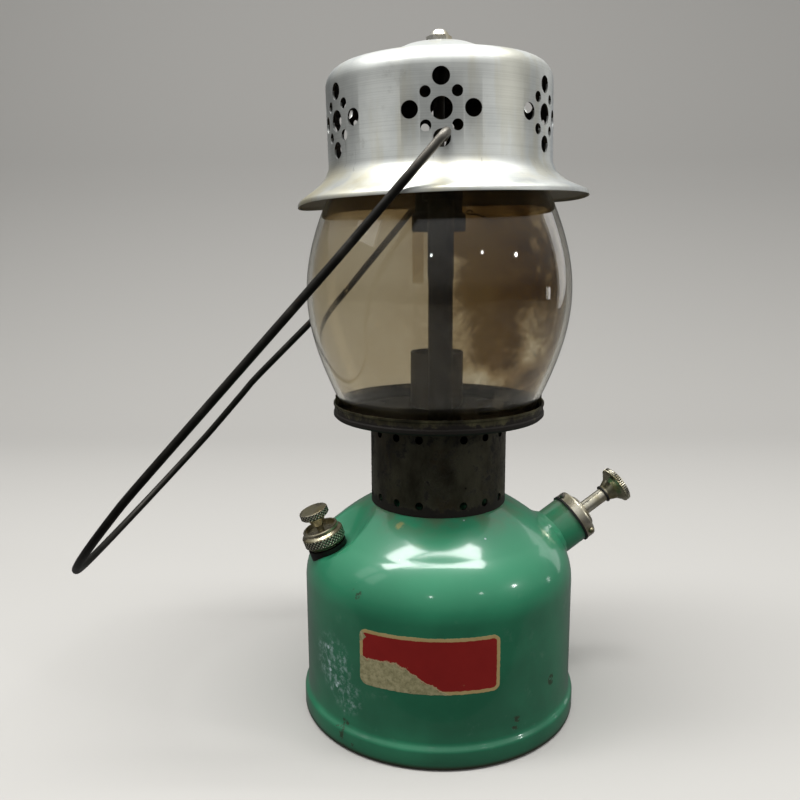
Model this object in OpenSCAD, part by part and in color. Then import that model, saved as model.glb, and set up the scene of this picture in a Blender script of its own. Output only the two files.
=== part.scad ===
// Pressure lantern: single mantle, drawn steel fount, barrel globe, spun ventilator and wire bail.
// Millimetres. +Z is up, and the origin is the centre of the circle that the fount stands on.
// The pump points to +X, the filler to -X, the control knob to +Y, and -Y is the front.

/* [Fount] */
// Radius of the fount's straight wall
fount_r = 63.5; // [61:0.5:66]
// Sheet thickness of the fount
fount_wall = 0.8; // [0.6:0.1:1.2]
// How far the seamed skirt stands out from the wall
skirt_step = 1.9; // [1:0.1:3]
// Height of the seamed skirt
skirt_h = 8.5; // [6:0.5:12]
// Height at which the shoulder starts to round over
shoulder_z = 64; // [60:1:66]
// Radius of the shoulder's rounding
shoulder_round = 28; // [26:0.5:29]
// Height of the dome where the collar stands on it
dome_z = 100.3; // [98:0.1:103]
// How high the bottom pressing is domed inwards
bottom_dome = 6.5; // [4:0.5:8]

/* [Filler] */
// Compass angle of the filler, from +X
filler_angle = 195.4; // [188:0.2:200]
// Angle of the filler's axis above the horizon
filler_rise = 70; // [68:0.5:74]
// Distance of the cap's lower edge from the fount's axis
filler_reach = 54.4; // [53:0.2:56]
// Height of the middle of the cap's lower edge
filler_z = 83.2; // [82:0.2:85]
// Radius of the filler cap
filler_cap_r = 9.7; // [9.2:0.1:10.2]
// Height of the filler cap
filler_cap_h = 8.7; // [8:0.1:9.6]
// Height of the filler neck inside the cap
filler_neck_h = 4.8; // [4:0.1:5.2]
// Radius of the pressed flat round the filler
filler_flat_r = 13; // [12.4:0.1:13.6]
// Angle at which the walls of the pressing flare from the filler's axis
filler_flare = 50; // [46:1:54]
// Depth of the filler boss below the cap
boss_depth = 12; // [10:0.5:14]
// Radius of the bleed screw's knob
bleed_knob_r = 6.7; // [6:0.1:7.2]
// Thickness of the bleed screw's knob
bleed_knob_h = 3.4; // [3:0.1:4]
// How far the bleed screw is opened, from the cap to its knob
bleed_open = 5.6; // [4:0.1:7]

/* [Pump] */
// Compass angle of the pump, from +X
pump_angle = 15.4; // [12:0.2:18]
// Angle of the pump's axis above the horizon
pump_rise = 32; // [30:0.5:34]
// Distance of the cap's lower edge from the fount's axis
pump_reach = 70.8; // [69:0.2:72]
// Height of the middle of the cap's lower edge
pump_z = 83.4; // [82:0.2:85]
// Radius of the pump tube
pump_tube_r = 12; // [11:0.1:12.2]
// Wall of the pump tube
pump_tube_wall = 0.8; // [0.6:0.1:1]
// Gap between the check valve at the tube's inner end and the pick-up tube
check_gap = 0.8; // [0.6:0.1:3]
// Radius of the pick-up tube
fuel_tube_r = 3.4; // [3:0.1:3.8]
// Height of the pump cap
pump_cap_h = 6.8; // [6.4:0.1:8]
// Radius of the raised disc in the middle of the pump cap
pump_disc_r = 8.4; // [7.6:0.1:9]
// Radius of the plunger rod
plunger_r = 3.4; // [3:0.1:3.8]
// How far the plunger is drawn out, from the cap to the knob's washer
plunger_out = 13.4; // [10:0.2:15]
// Radius of the pump knob's rim
pump_knob_r = 9.3; // [8.6:0.1:10]
// Depth of the pump knob
pump_knob_h = 9.6; // [8.6:0.1:10.6]

/* [Collar and globe rest] */
// Radius of the collar
collar_r = 31.65; // [30:0.1:33]
// Sheet thickness of the collar and the globe rest
collar_wall = 0.7; // [0.5:0.1:1]
// Radius of the collar's air holes
air_hole_r = 1.8; // [1.4:0.1:2.2]
// Height of the lower row of holes above the collar's foot
low_row = 5.1; // [4:0.1:7]
// Distance of the upper row of holes below the collar's top
high_row = 6; // [4:0.1:8]
// Number of holes in each half of a row
holes_per_side = 8; // [6:1:9]
// Angle of the blank stretch at the front and at the back
blank_angle = 36; // [32:1:44]
// Height of the collar, from the dome to the underside of the globe rest
collar_h = 40.9; // [38:0.1:44]
// Radius of the globe rest's rim
rest_r = 48.8; // [48:0.1:50]
// Height of the globe rest's rim
rest_h = 6.6; // [5.4:0.1:8]

/* [Globe] */
// Play between the globe's end and the rim of the globe rest
rest_play = 3.5; // [3.2:0.1:4.2]
// Least play between the globe's end and the ventilator's wall
vent_play = 4.05; // [3.8:0.05:4.8]
// How far the globe bulges beyond its ends
globe_bulge = 14.5; // [12:0.5:16]
// Length of the globe
globe_len = 112; // [108:0.5:113]
// Thickness of the glass
glass = 2.2; // [1.8:0.1:2.6]

/* [Burner] */
// Distance of the air tube in front of the axis
air_tube_y = 19; // [18:0.5:20]
// Radius of the air tube
air_tube_r = 5.3; // [5:0.1:5.6]
// Height of the air tube's joint above the floor of the globe rest
air_joint_h = 62.1; // [56:0.1:68]
// Distance of the generator behind the axis
generator_y = 17; // [16.6:0.2:18]
// Radius of the generator
generator_r = 4.2; // [3.8:0.1:4.6]
// Radius of the cleaning needle's shank
needle_r = 0.9; // [0.7:0.05:1]
// How far the cleaning lever lifts the needle into the generator's tip
needle_lift = 3; // [2:0.5:3]
// Radius of the heat shield
shield_r = 12.7; // [12:0.1:13]
// Height of the heat shield
shield_h = 26.6; // [22:0.2:30]
// Distance from the burner cap's lower edge up to the burner casting
burner_cap_h = 12.5; // [11:0.5:15]
// Radius of the burner cap
burner_r = 12.1; // [11.6:0.1:12.6]
// Height of the underside of the burner casting above the floor of the globe rest
casting_up = 95.1; // [94:0.1:97]
// Thickness of the burner casting
casting_h = 9; // [8:0.5:10]

/* [Ventilator] */
// Radius of the ventilator's wall
vent_r = 49.35; // [49:0.05:50]
// Sheet thickness of the ventilator
vent_wall = 0.8; // [0.6:0.1:1]
// How far the brim reaches down beside the top of the globe
brim_drop = 15.8; // [14:0.2:17]
// Radius of the brim
brim_r = 65; // [64:0.2:65.6]
// Height above the brim's edge at which the wall rounds over into the crown
crown_up = 47.8; // [47.8:0.2:51]
// Height of the whole ventilator
vent_h = 65.4; // [65:0.2:68]
// Number of perforated patterns round the wall
patterns = 6; // [4:2:6]
// Height of the middle of the patterns above the brim's edge
pattern_up = 31.8; // [31.4:0.1:32.4]
// Radius of each pattern's middle hole
big_hole_r = 4.35; // [4:0.05:4.6]
// Radius of the four outer holes
mid_hole_r = 3.45; // [3.3:0.05:3.6]
// Radius of the four small holes
small_hole_r = 2.2; // [2:0.1:2.4]
// Distance from the middle to the outer holes
mid_hole_reach = 11.7; // [11.4:0.1:12]
// Distance from the middle to the small holes, across and up
small_hole_reach = 6.2; // [6:0.1:6.4]

/* [Bail] */
// Radius of the bail's wire
wire_r = 1.75; // [1.5:0.05:1.85]
// Length of the bail from its hooks to its far end
bail_len = 260; // [240:2:270]
// Angle of the resting bail from straight down
bail_lean = 41.6; // [41.4:0.2:50]
// Distance of the wire's middle from the lantern's axis plane, at the hooks
bail_half = 64; // [63.9:0.1:66]
// Angle at which each leg spreads
bail_spread = 1.5; // [0.5:0.1:3]

/* [Controls] */
// Height of the valve stem's axis above the top of the fount
valve_up = 15.1; // [13:0.1:17]
// Radius of the control knob
control_r = 13; // [11:0.5:14]
// Length of the control knob
control_h = 12; // [10:0.5:14]
// Distance of the cleaning lever's shaft from the valve stem
lever_x = 13; // [12:0.5:14]
// Length of the cleaning lever
lever_len = 15; // [12:0.5:18]

/* [Hidden] */
$fn = 64;

// Running clearance of what turns or slides, and the gap left between fitted parts
run = 0.05;
fit = 0.03;
// Rest gap between a loose part and its seat
seat = 0.1;
// Bite by which a cutter passes the faces it opens
bite = 1;

// Fount: its skirt, its neck under the collar and its middle
skirt_r = fount_r + skirt_step;
step_h = 3;
bung_r = 9;
bung_depth = 7;
bung_rise = 2;
bung_hex = 22;
bung_hex_h = 3;
neck_rise = 2.6;
dome_top_z = dome_z + neck_rise;
shoulder_turn = 55;

// Filler and pump directions
filler_tilt = 90 - filler_rise;
pump_tilt = 90 - pump_rise;
boss_r = filler_cap_r - 0.7;
neck_r = filler_cap_r - 2.1;
flat_drop = 2.6;
well_h = 16;
gasket_h = 1.1;
bleed_stem_r = 1.6;
cap_rim_r = filler_cap_r - 1.35;
cap_dish_r = cap_rim_r - 1.1;
cap_dish_h = 1.8;

tube_bore = pump_tube_r - pump_tube_wall;
pump_cap_r = pump_tube_r + 0.6;
washer_h = 0.7;
stem_r = 1.4;
rod_bore = 2.2;
cup_h = 6;
check_hex = 10;
check_h = 7;
check_reach = check_gap + check_hex / 2 / cos(30) * sin(pump_rise);
pump_tube_len = (pump_reach - fuel_tube_r - check_reach) / cos(pump_rise) - check_h;
plunger_in = pump_tube_len - 16;

// Globe rest, collar and what stands on them
rest_z = dome_z + collar_h;
rest_top = rest_z + collar_wall;
tab_h = 2.8;
globe_z = rest_top + seat;
globe_end_r = min(rest_r - rest_play, vent_r - vent_play);
globe_top = globe_z + globe_len;
globe_neck = 5;

// Burner
casting_z = rest_top + casting_up;
air_joint_z = rest_top + air_joint_h;
burner_z = casting_z - burner_cap_h;
bar_w = 12;
air_boss_r = 8;
generator_boss_r = 7;
hub_rise = 3;
post_r = 6;
post_top = rest_top + 4.6;
nut_h = 6;
tip_h = 4;
jet_len = 5;
tip_z = casting_z - tip_h - jet_len;
generator_wall = 1.2;
jet_r = 1.4;
air_tube_wall = 0.7;
sleeve_grip = 6;
passage_r = 2.5;
passage_z = casting_z + 3;
mouth_r = 5;
stud_grip = 4;
screen_t = 0.5;
sleeve_r = air_tube_r + 0.3;
casting_top = casting_z + casting_h;
stud_r = 2.5;

// Ventilator and its hardware
brim_z = globe_top - brim_drop;
crown_z = brim_z + crown_up;
vent_top_z = brim_z + vent_h;
pattern_z = brim_z + pattern_up;
crown_round = 8.6;
hub_hole_r = stud_r + 0.5;
stud_seat_r = 7;
nut_across = 9.6;

// Bail: the wire turns in the lowest holes of the front and back patterns
hinge_z = pattern_z - mid_hole_reach + mid_hole_r - wire_r - 0.1;
hook_turn = 4.5;
wire_bite = 0.3;
hook_reach = 5.5;

// Controls: the valve's arm ends beyond the generator
valve_z = dome_top_z + valve_up;
chest_r = 5.6;
chest_front = 8.5;
valve_hex = 14;
lever_boss_r = 3.6;
valve_arm = 7.5;
passage_rise = 4;
stem_shaft_r = 2.4;
lever_r = 1.3;
stem_end = collar_r + 12;

function unit(v) = v / norm(v);
function out_normal(a, b) = let (d = unit(b - a)) [d[1], -d[0]];

// The path moved sideways by t, to its left as it is walked
function beside(path, t) =
    let (last = len(path) - 1)
    [for (i = [0:last])
        let (
            before = out_normal(path[max(i - 1, 0)], path[max(i, 1)]),
            after = out_normal(path[min(i, last - 1)], path[min(i + 1, last)]),
            mid = unit(before + after)
        )
        path[i] - t * mid / (mid * before)];

function arc(centre, r, from, to, steps) =
    [for (i = [0:steps]) let (a = from + (to - from) * i / steps) centre + r * [cos(a), sin(a)]];

function backwards(path) = [for (i = [len(path) - 1:-1:0]) path[i]];

// Sheet of thickness t turned about Z, with the path as its outer face, walked upwards
module spun(path, t) {
    rotate_extrude($fn = 96) polygon(concat(path, backwards(beside(path, t))));
}

module ring(r, bore, h) {
    difference() {
        cylinder(r = r, h = h);
        translate([0, 0, -bite]) cylinder(r = bore, h = h + 2 * bite);
    }
}

// Cylinder with straight milling round its edge
module milled(r, depth, h, teeth) {
    linear_extrude(h)
        polygon([for (i = [0:2 * teeth - 1])
            let (a = 180 * i / teeth, q = i % 2 == 0 ? r : r - depth)
            [q * cos(a), q * sin(a)]]);
}

module hexagon(across, h) {
    cylinder(d = across / cos(30), h = h, $fn = 6);
}

// Places for the filler and the pump: the local origin is the cap's lower edge, and +Z points outwards
module at_filler() {
    rotate(filler_angle) translate([filler_reach, 0, filler_z]) rotate([0, filler_tilt, 0]) children();
}

module at_pump() {
    rotate(pump_angle) translate([pump_reach, 0, pump_z]) rotate([0, pump_tilt, 0]) children();
}

// Fount
function fount_path() =
    let (
        middle = [fount_r - shoulder_round, shoulder_z],
        turned = middle + shoulder_round * [cos(shoulder_turn), sin(shoulder_turn)],
        crest = [collar_r + 0.3, dome_z],
        seat_in = collar_r - collar_wall - 0.6
    )
    concat(
        [[skirt_r, 1], [skirt_r, skirt_h], [skirt_r - 0.3 * skirt_step, skirt_h + 0.35 * step_h],
         [fount_r + 0.2 * skirt_step, skirt_h + 0.75 * step_h], [fount_r, skirt_h + 1.2 * step_h]],
        arc(middle, shoulder_round, 0, shoulder_turn, 11),
        [turned + 0.5 * (crest - turned) + [0.35, 0.75], crest],
        [[seat_in, dome_z], [(seat_in + bung_hex) / 2, dome_z + 0.75 * neck_rise], [bung_hex, dome_top_z],
         [bung_r, dome_top_z]]
    );

// Space above the pressed flat, or with grow, the same space lined with a sheet of that thickness
module pressing(grow) {
    foot_r = filler_flat_r + grow * (1 - sin(filler_flare)) / cos(filler_flare);
    at_filler() translate([0, 0, -flat_drop - grow])
        cylinder(r1 = foot_r, r2 = foot_r + (well_h + grow) * tan(filler_flare), h = well_h + grow);
}

module fount_shell() {
    color("seagreen")
    difference() {
        union() {
            difference() {
                spun(fount_path(), fount_wall);
                pressing(0);
            }
            // the pressed flat and its flaring walls, trimmed to the dome
            intersection() {
                difference() {
                    pressing(fount_wall);
                    pressing(0);
                }
                rotate_extrude($fn = 96) polygon(concat([[0, 1]], fount_path(), [[0, dome_top_z]]));
            }
        }
        at_filler() translate([0, 0, -boss_depth - well_h])
            cylinder(r = boss_r + fit, h = 2 * (boss_depth + well_h));
        at_pump() translate([0, 0, -shoulder_round]) cylinder(r = pump_tube_r + fit, h = 2 * shoulder_round);
        translate([0, 0, dome_top_z - bung_depth]) cylinder(r = bung_r + fit, h = 2 * bung_depth);
    }
}

module fount_bottom() {
    inner = skirt_r - fount_wall - fit;
    foot = [[inner - 4.6, 0], [inner - 1, 0], [inner, 1], [inner, skirt_h - 1]];
    color("darkseagreen")
    spun(concat([[0.01, bottom_dome], [inner - 18, bottom_dome], [inner - 10, bottom_dome - 1.4],
                 [inner - 6.4, 1.6]], foot), fount_wall);
}

module filler_boss() {
    color("dimgray")
    at_filler() difference() {
        union() {
            translate([0, 0, -boss_depth]) cylinder(r = boss_r, h = boss_depth - 0.4);
            translate([0, 0, -0.4 - fit]) cylinder(r = neck_r, h = filler_neck_h + 0.4 + fit);
        }
        translate([0, 0, -boss_depth - bite])
            cylinder(r = neck_r - 1.8, h = boss_depth + filler_neck_h + 2 * bite);
    }
}

module filler_gasket() {
    color("black")
    at_filler() translate([0, 0, filler_neck_h + fit]) ring(neck_r - 0.05, bleed_stem_r + 1.4, gasket_h);
}

module filler_cap() {
    bore = neck_r + run;
    roof = filler_neck_h + gasket_h + 2 * fit;
    shoulder = filler_cap_h - 3;
    color("silver")
    at_filler() difference() {
        // tapered foot, knurled band, bevelled shoulder, groove and rolled rim
        rotate_extrude() polygon([
            [0, 0], [filler_cap_r - 1.3, 0], [filler_cap_r - 1.1, 0.5], [filler_cap_r, 1.7],
            [filler_cap_r, shoulder], [filler_cap_r - 0.25, shoulder + 0.35],
            [cap_rim_r - 0.1, shoulder + 1.15],
            [cap_rim_r - 0.35, shoulder + 1.4], [cap_rim_r, shoulder + 1.7], [cap_rim_r, filler_cap_h - 0.4],
            [cap_rim_r - 0.35, filler_cap_h], [0, filler_cap_h]]);
        translate([0, 0, -bite]) cylinder(r = bore, h = roof + bite);
        translate([0, 0, filler_cap_h - cap_dish_h]) cylinder(r = cap_dish_r, h = cap_dish_h + bite);
        translate([0, 0, roof - bite]) cylinder(r = bleed_stem_r + run, h = filler_cap_h);
    }
}

module bleed_screw() {
    knob_z = filler_cap_h + bleed_open;
    tip_z = filler_neck_h + gasket_h;
    color("silver")
    at_filler() {
        translate([0, 0, tip_z]) cylinder(r = bleed_stem_r, h = knob_z - tip_z);
        translate([0, 0, knob_z - 4.4]) cylinder(r1 = 2.6, r2 = 4.6, h = 4.4);
        translate([0, 0, knob_z]) cylinder(r1 = bleed_knob_r - 0.6, r2 = bleed_knob_r, h = 0.6);
        translate([0, 0, knob_z + 0.6]) cylinder(r = bleed_knob_r, h = bleed_knob_h - 1);
        translate([0, 0, knob_z + bleed_knob_h - 0.4])
            cylinder(r1 = bleed_knob_r, r2 = bleed_knob_r - 0.4, h = 0.4);
    }
}

// Pump
module pump_tube() {
    color("seagreen")
    at_pump() translate([0, 0, -pump_tube_len]) difference() {
        cylinder(r = pump_tube_r, h = pump_tube_len + 2.4);
        translate([0, 0, 1.2]) cylinder(r = tube_bore, h = pump_tube_len + 3);
        translate([0, 0, -bite]) cylinder(r = 4, h = 4);
    }
}

module pump_ring() {
    color("black")
    at_pump() translate([0, 0, -1]) ring(pump_cap_r + 0.25, pump_tube_r + fit, 1 - fit);
}

module pump_cap() {
    face = pump_cap_h - 2;
    outer = [[pump_cap_r, 0], [pump_cap_r, face - 1], [pump_cap_r - 0.3, face - 0.3], [pump_cap_r - 1, face],
             [pump_disc_r + 0.3, face], [pump_disc_r, face + 0.3], [pump_disc_r, pump_cap_h - 0.5],
             [pump_disc_r - 0.5, pump_cap_h], [plunger_r + run + 0.6, pump_cap_h]];
    color("silver")
    at_pump() difference() {
        spun(outer, 0.6 - fit);
        for (side = [0, 180]) rotate([0, 0, side]) translate([0, 0, 1.5])
            rotate([0, 90, 0]) cylinder(r = 0.8 + fit, h = 20, $fn = 24);
    }
}

module pump_cap_screws() {
    color("silver")
    at_pump() for (side = [0, 180]) rotate([0, 0, side]) translate([0, 0, 1.5]) rotate([0, 90, 0]) {
        translate([0, 0, pump_tube_r + fit]) cylinder(r = 0.8, h = 1, $fn = 24);
        translate([0, 0, pump_cap_r + fit]) cylinder(r1 = 1.45, r2 = 1, h = 1.3, $fn = 24);
    }
}

module check_valve() {
    color("goldenrod")
    at_pump() translate([0, 0, -pump_tube_len]) difference() {
        union() {
            translate([0, 0, -check_h]) hexagon(check_hex, check_h - fit);
            translate([0, 0, -fit]) cylinder(r = 4 - fit, h = 3.2);
        }
        translate([0, 0, -check_h - bite]) cylinder(r = 1.2, h = 5);
    }
}

module air_stem() {
    foot = -pump_tube_len + 3.2;
    color("goldenrod")
    at_pump() translate([0, 0, foot]) {
        cylinder(r = stem_r, h = -foot - 6);
        cylinder(r = 2.2, h = 1.2);
    }
}

module pump_cup() {
    foot = -plunger_in;
    color("saddlebrown")
    at_pump() translate([0, 0, foot]) difference() {
        union() {
            cylinder(r1 = tube_bore - 0.25, r2 = tube_bore - run, h = 1.5);
            translate([0, 0, 1.5]) cylinder(r = tube_bore - run, h = cup_h - 1.5);
        }
        translate([0, 0, -bite]) cylinder(r = tube_bore - 2, h = cup_h - 2 + bite);
        translate([0, 0, -bite]) cylinder(r = plunger_r + run, h = cup_h + 2 * bite);
    }
}

module plunger_rod() {
    foot = -plunger_in + cup_h - 3;
    top = pump_cap_h + plunger_out;
    cup_top = -plunger_in + cup_h;
    color("silver")
    at_pump() difference() {
        union() {
            translate([0, 0, foot]) cylinder(r = plunger_r, h = top - foot);
            translate([0, 0, cup_top + fit]) cylinder(r = plunger_r + 3, h = 1.4);
            translate([0, 0, foot - 0.8]) cylinder(r = plunger_r + 2, h = 1.8 - fit);
        }
        translate([0, 0, foot - bite - 1]) cylinder(r = rod_bore, h = top - foot - 1);
    }
}

module knob_washer() {
    color("black")
    at_pump() translate([0, 0, pump_cap_h + plunger_out]) ring(plunger_r + 1.1, 1.9, washer_h);
}

module pump_knob() {
    base = pump_cap_h + plunger_out + washer_h;
    rim = 2.7;
    flare = pump_knob_h - rim;
    color("silver")
    at_pump() translate([0, 0, base]) difference() {
        union() {
            rotate_extrude() polygon([
                [0, 0], [plunger_r + 0.8, 0], [plunger_r + 0.9, 0.9], [plunger_r + 1.6, 0.35 * flare],
                [0.62 * pump_knob_r, 0.6 * flare], [0.82 * pump_knob_r, 0.84 * flare],
                [0.91 * pump_knob_r, flare], [0, flare]]);
            translate([0, 0, flare]) milled(pump_knob_r, 0.35, rim - 0.5, 48);
            translate([0, 0, pump_knob_h - 0.5])
                cylinder(r1 = pump_knob_r - 0.5, r2 = pump_knob_r - 1.1, h = 0.5);
        }
        translate([0, 0, pump_knob_h - 1.1])
            cylinder(r1 = pump_knob_r - 3, r2 = pump_knob_r - 2, h = 1.1 + fit);
    }
}

// Valve, in the collar
module valve_bung() {
    color("goldenrod")
    difference() {
        union() {
            translate([0, 0, dome_top_z - bung_depth]) cylinder(r = bung_r, h = bung_depth + bung_rise);
            translate([0, 0, dome_top_z + fit]) hexagon(bung_hex, bung_hex_h);
        }
        translate([0, 0, dome_top_z - bung_depth - bite])
            cylinder(r = fuel_tube_r + fit, h = bung_depth + bung_hex_h + 2 * bite);
    }
}

module fuel_tube() {
    top = dome_top_z + bung_hex_h + fit;
    foot = bottom_dome + 3;
    color("goldenrod")
    translate([0, 0, foot]) difference() {
        cylinder(r = fuel_tube_r, h = top - foot);
        translate([0, 0, -bite]) cylinder(r = fuel_tube_r - 1.2, h = top);
    }
}

module valve_body() {
    base = dome_top_z + bung_hex_h + 2 * fit;
    arm = generator_y + valve_arm;
    color("goldenrod")
    difference() {
        union() {
            translate([0, 0, base]) hexagon(valve_hex, valve_z - base);
            translate([0, -chest_front, valve_z]) rotate([-90, 0, 0])
                cylinder(r = chest_r, h = arm + chest_front);
            translate([0, generator_y, valve_z]) cylinder(r = post_r, h = post_top - valve_z);
            translate([0, generator_y, valve_z]) rotate([0, -90, 0])
                cylinder(r = lever_boss_r, h = lever_x + lever_boss_r - 0.6);
        }
        // stem bore, lever bore, and the passage up to the generator
        translate([0, 0, valve_z]) rotate([-90, 0, 0]) cylinder(r = stem_shaft_r + run, h = 60);
        translate([-lever_x, 0, valve_z]) rotate([-90, 0, 0]) cylinder(r = lever_r + run, h = 60);
        translate([0, generator_y, valve_z + passage_rise])
            cylinder(r = generator_r - generator_wall, h = 60);
    }
}

module packing_nut() {
    color("goldenrod")
    translate([0, generator_y + valve_arm + fit, valve_z]) rotate([-90, 0, 0]) difference() {
        hexagon(12, 5);
        translate([0, 0, -bite]) cylinder(r = stem_shaft_r + run, h = 5 + 2 * bite);
    }
}

module valve_stem() {
    color("silver")
    translate([0, 1, valve_z]) rotate([-90, 0, 0]) {
        cylinder(r1 = 0.6, r2 = stem_shaft_r, h = 3);
        translate([0, 0, 3]) cylinder(r = stem_shaft_r, h = stem_end - 4);
    }
}

module control_knob() {
    lobes = 8;
    color("black")
    translate([0, stem_end - 3, valve_z]) rotate([-90, 0, 0]) difference() {
        union() {
            cylinder(r = 5.5, h = 4);
            translate([0, 0, 3]) cylinder(r1 = control_r - 1, r2 = control_r, h = 1.5);
            translate([0, 0, 4.5]) cylinder(r = control_r, h = control_h - 6);
            translate([0, 0, control_h - 1.5]) cylinder(r1 = control_r, r2 = control_r - 1.5, h = 1.5);
        }
        for (i = [0:lobes - 1]) rotate(360 * i / lobes)
            translate([control_r + 1.6, 0, 2]) cylinder(r = 3, h = control_h, $fn = 32);
        translate([0, 0, -bite]) cylinder(r = stem_shaft_r + fit, h = 3 + bite);
        translate([0, 0, control_h - 2]) cylinder(r = 3.6, h = 2 + bite);
    }
}

module knob_screw() {
    color("silver")
    translate([0, stem_end - 3 + control_h - 2 + fit, valve_z]) rotate([-90, 0, 0]) difference() {
        cylinder(r1 = 3.2, r2 = 2.6, h = 1.4);
        translate([-4, -0.4, 0.8]) cube([8, 0.8, 2]);
    }
}

module cleaning_lever() {
    shaft = stem_end - 8;
    color("silver")
    translate([-lever_x, generator_y - 6, valve_z]) rotate([-90, 0, 0]) {
        cylinder(r = lever_r, h = shaft - generator_y + 6);
        translate([0, 0, shaft - generator_y + 6]) sphere(r = lever_r);
        translate([0, 0, shaft - generator_y + 6]) rotate([-90, 0, 0]) cylinder(r = lever_r, h = lever_len);
        translate([0, lever_len, shaft - generator_y + 6]) sphere(r = lever_r + 0.7);
    }
}

module cleaning_needle() {
    foot = valve_z + passage_rise + seat;
    color("silver")
    translate([0, generator_y, foot]) {
        cylinder(r = needle_r, h = tip_z - foot, $fn = 24);
        cylinder(r = 0.35, h = casting_z - 1.5 - foot, $fn = 24);
    }
}

// Collar and globe rest
module collar() {
    half = 180 - blank_angle;
    color("rosybrown")
    difference() {
        translate([0, 0, dome_z + seat]) ring(collar_r, collar_r - collar_wall, collar_h - seat - fit);
        for (side = [0, 180], i = [0:holes_per_side - 1], z = [dome_z + low_row, rest_z - high_row])
            rotate(side - half / 2 + half * i / (holes_per_side - 1)) translate([collar_r - 3, 0, z])
                rotate([0, 90, 0]) cylinder(r = air_hole_r, h = 6, $fn = 24);
        // openings for the valve and the cleaning lever
        translate([0, collar_r - 4, valve_z]) rotate([-90, 0, 0]) cylinder(r = 7.5, h = 8);
        translate([-lever_x, collar_r - 7, valve_z]) rotate([-90, 0, 0])
            cylinder(r = lever_r + 1, h = 10, $fn = 32);
    }
}

module globe_rest() {
    rim = [[rest_r - 0.9, rest_z], [rest_r, rest_z + 0.9], [rest_r, rest_z + 2.2],
           [rest_r - 0.4, rest_z + 2.8], [rest_r - 0.4, rest_z + rest_h - 1.3],
           [rest_r, rest_z + rest_h - 0.9], [rest_r, rest_z + rest_h]];
    tab_w = 5;
    color("dimgray")
    difference() {
        union() {
            spun(concat([[0.01, rest_z], [36, rest_z]], rim), collar_wall);
            for (side = [0, 180]) rotate(side) intersection() {
                translate([0, 0, rest_z + 1.5])
                    ring(rest_r - collar_wall - 0.2, rest_r - 2 * collar_wall - 0.2, rest_h + tab_h - 1.5);
                translate([0, -tab_w / 2, 0]) cube([rest_r + 5, tab_w, rest_z + rest_h + tab_h + 10]);
            }
        }
        translate([0, generator_y, rest_z - bite]) cylinder(r = post_r + fit, h = 5);
        translate([0, -air_tube_y, rest_z - bite]) cylinder(r = air_tube_r + fit, h = 5);
        // lighting hole at the back, and draught holes on a ring
        translate([24, 6, rest_z - bite]) cylinder(r = 5, h = 5);
        for (i = [0:5])
            rotate(60 * i + 15) translate([38, 0, rest_z - bite]) cylinder(r = 1.8, h = 5, $fn = 24);
    }
}

module heat_shield() {
    color("dimgray")
    translate([0, generator_y, 0]) difference() {
        spun([[0.01, rest_top + fit], [shield_r - 1, rest_top + fit], [shield_r, rest_top + fit + 1],
              [shield_r, rest_top + shield_h]], 0.6);
        translate([0, 0, rest_top - bite]) cylinder(r = post_r + fit, h = 3);
    }
}

module jam_nut() {
    color("goldenrod")
    translate([0, generator_y, rest_top + 0.6 + 2 * fit]) difference() {
        hexagon(15, nut_h);
        translate([0, 0, -bite]) cylinder(r = post_r + fit, h = post_top - rest_top + 0.4);
        translate([0, 0, -bite]) cylinder(r = generator_r + fit, h = nut_h + 2 * bite);
    }
}

module generator() {
    foot = post_top + fit;
    color("goldenrod")
    translate([0, generator_y, foot]) difference() {
        cylinder(r = generator_r, h = tip_z - foot);
        translate([0, 0, -bite]) cylinder(r = generator_r - generator_wall, h = casting_z);
    }
}

module generator_tip() {
    foot = tip_z + fit;
    color("goldenrod")
    translate([0, generator_y, foot]) difference() {
        union() {
            hexagon(7.6, tip_h);
            cylinder(r = jet_r, h = casting_z + 2 - foot);
        }
        translate([0, 0, -bite]) cylinder(r = needle_r + 0.2, h = needle_lift + 0.5 + bite);
        translate([0, 0, -bite]) cylinder(r = 0.45, h = casting_z + 2 - foot + 2 * bite, $fn = 24);
    }
}

// Air tube and burner
module air_tube() {
    foot = valve_z - 6;
    color("dimgray")
    translate([0, -air_tube_y, 0]) difference() {
        union() {
            translate([0, 0, foot]) cylinder(r = air_tube_r, h = air_joint_z + sleeve_grip - foot);
            translate([0, 0, rest_top + fit]) cylinder(r = air_tube_r + 3, h = 1.2);
        }
        translate([0, 0, foot - bite]) cylinder(r = air_tube_r - air_tube_wall, h = air_joint_z);
    }
}

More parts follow.
